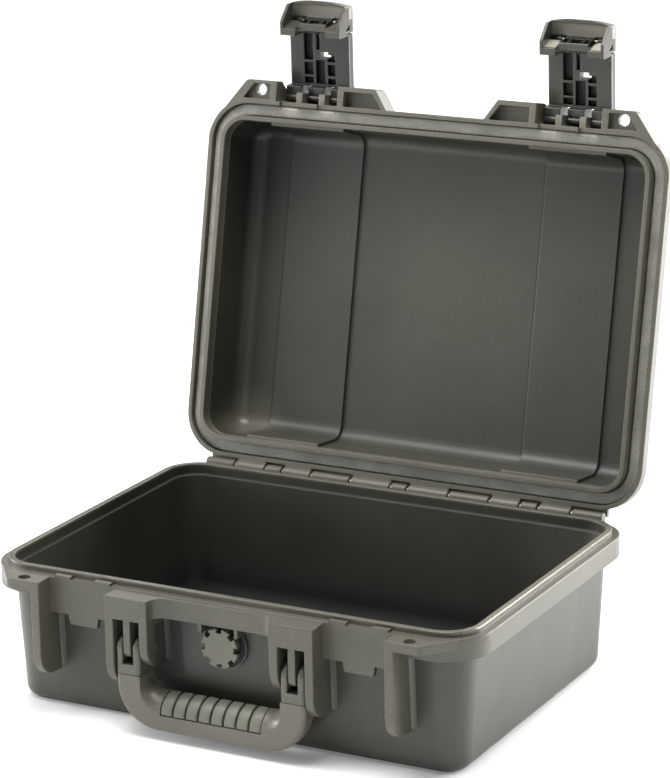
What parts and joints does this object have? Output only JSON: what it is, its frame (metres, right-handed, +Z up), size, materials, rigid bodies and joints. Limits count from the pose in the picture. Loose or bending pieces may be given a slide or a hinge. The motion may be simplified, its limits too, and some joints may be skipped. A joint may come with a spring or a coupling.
{
  "type": "hard case",
  "caption": "Rigid moulded carrying case with a hinged lid, sealing gasket, push-release latches, drop handle and pressure vent.",
  "frame": {"origin": "middle of the base's underside, on the plane it stands on", "axes": "+X to the right seen from the handle side, +Y from the handle side to the hinge side, +Z up"},
  "size_m": [0.4034, 0.4191, 0.4798],
  "materials": {
    "case": "satin moulded polypropylene, olive grey",
    "latch": "semi-gloss moulded nylon, dark grey",
    "fitting": "glossy moulded nylon, olive grey",
    "grip_shell": "satin overmould, olive grey",
    "grip": "soft ribbed overmould",
    "trim": "satin moulded plastic",
    "gasket": "closed-cell sponge, matte",
    "seal": "matte",
    "membrane": "fine woven",
    "pin": "drawn stainless",
    "spring": "spring wire"
  },
  "bodies": {
    "base": {"base_shell": "case", "vent_body": "trim", "vent_seal": "seal", "vent_membrane": "membrane", "vent_cap": "trim", "vent_nut": "trim", "hinge_pin_left": "pin", "hinge_pin_center": "pin", "hinge_pin_right": "pin", "handle_pin_left": "pin", "handle_pin_right": "pin"},
    "lid": {"lid_shell": "case", "lid_gasket": "gasket", "latch_pin_left": "pin", "latch_pin_right": "pin"},
    "handle": {"handle_core": "fitting", "handle_bow": "grip_shell", "handle_grip": "grip"},
    "latch_left": {"latch_body_left": "latch", "latch_button_pin_left": "pin", "latch_spring_left": "spring"},
    "latch_right": {"latch_body_right": "latch", "latch_button_pin_right": "pin", "latch_spring_right": "spring"},
    "button_left": {"latch_button_left": "latch"},
    "button_right": {"latch_button_right": "latch"}
  },
  "joints": [
    {"name": "lid_hinge", "type": "hinge", "parent": "base", "child": "lid", "pos_m": [0, 0.1523, 0.10815], "axis": [1, 0, 0], "range_deg": [0, 101.86]},
    {"name": "latch_left_hinge", "type": "hinge", "parent": "lid", "child": "latch_left", "pos_m": [0, 0.23317, 0.40006], "axis": [1, 0, 0], "range_deg": [0, 76.6]},
    {"name": "latch_right_hinge", "type": "hinge", "parent": "lid", "child": "latch_right", "pos_m": [0, 0.23317, 0.40006], "axis": [1, 0, 0], "range_deg": [0, 76.6]},
    {"name": "button_left_hinge", "type": "hinge", "parent": "latch_left", "child": "button_left", "pos_m": [0, 0.23867, 0.46323], "axis": [-1, 0, 0], "range_deg": [0, 8], "stiffness_Nm_per_rad": 0.5, "springref_deg": -2.86},
    {"name": "button_right_hinge", "type": "hinge", "parent": "latch_right", "child": "button_right", "pos_m": [0, 0.23867, 0.46323], "axis": [-1, 0, 0], "range_deg": [0, 8], "stiffness_Nm_per_rad": 0.5, "springref_deg": -2.86},
    {"name": "handle_hinge", "type": "hinge", "parent": "base", "child": "handle", "pos_m": [0, -0.151, 0.0665], "axis": [-1, 0, 0], "range_deg": [0, 90]}
  ]
}
